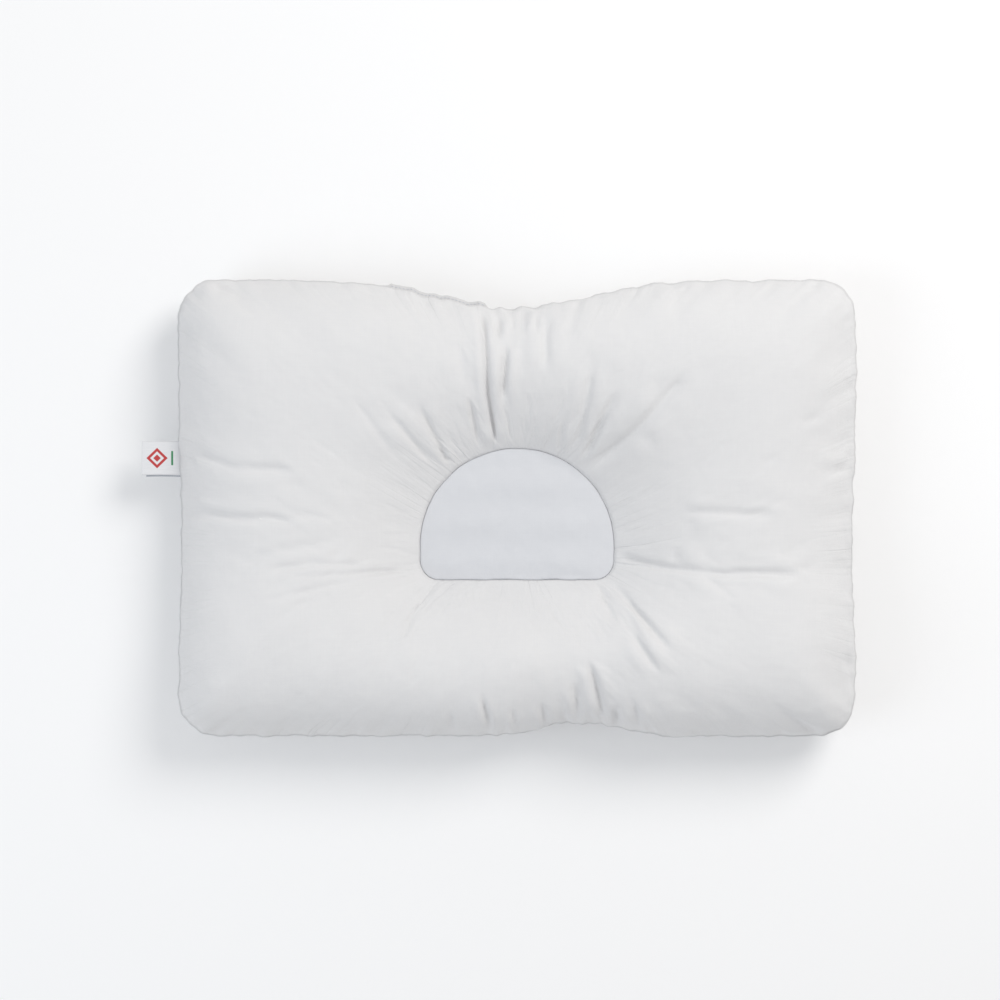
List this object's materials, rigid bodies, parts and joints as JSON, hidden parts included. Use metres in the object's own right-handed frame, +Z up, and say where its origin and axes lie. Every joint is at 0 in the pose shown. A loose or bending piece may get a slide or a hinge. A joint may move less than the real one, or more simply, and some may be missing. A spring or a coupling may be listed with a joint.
{
  "type": "cervical support pillow",
  "caption": "Rectangular fibre-filled pillow with raised neck, crown and side lobes round a sunk D-shaped head panel, with folded labels in a side seam.",
  "frame": {"origin": "on the bed, under the middle of the pillow, in the plane of the flat middle of the back panel", "axes": "+Z up, out of the head panel; +Y towards the crown edge, with the neck roll at -Y; +X towards the side seam without labels"},
  "size_m": [0.6445, 0.4112, 0.112],
  "materials": {
    "ticking": "white poly-cotton percale, matt",
    "head_ticking": "cool white percale, matt",
    "lining": "white woven lining",
    "fibre_fill": "siliconised polyester fibre",
    "thread": "polyester sewing thread",
    "woven_tape": "white woven satin tape with a plain coloured motif",
    "care_tape": "thin white nylon tape"
  },
  "bodies": {
    "pillow": {"top_panel": "ticking", "back_panel": "ticking", "head_panel": "head_ticking", "centre_wall": "lining", "head_pad": "fibre_fill", "neck_roll_fill": "fibre_fill", "crown_roll_fill": "fibre_fill", "left_side_fill": "fibre_fill", "right_side_fill": "fibre_fill", "edge_seam_thread": "thread", "head_seam_thread": "thread", "back_tie_thread": "thread", "closing_seam_thread": "thread"},
    "label": {"woven_label": "woven_tape", "care_label": "care_tape"}
  },
  "joints": [
    {"name": "label_flap", "type": "hinge", "parent": "pillow", "child": "label", "pos_m": [-0.30585, 0.045, 0.044], "axis": [0, 1, 0], "range_deg": [-70, 70], "stiffness_Nm_per_rad": 0.0002, "springref_deg": 2.29}
  ]
}
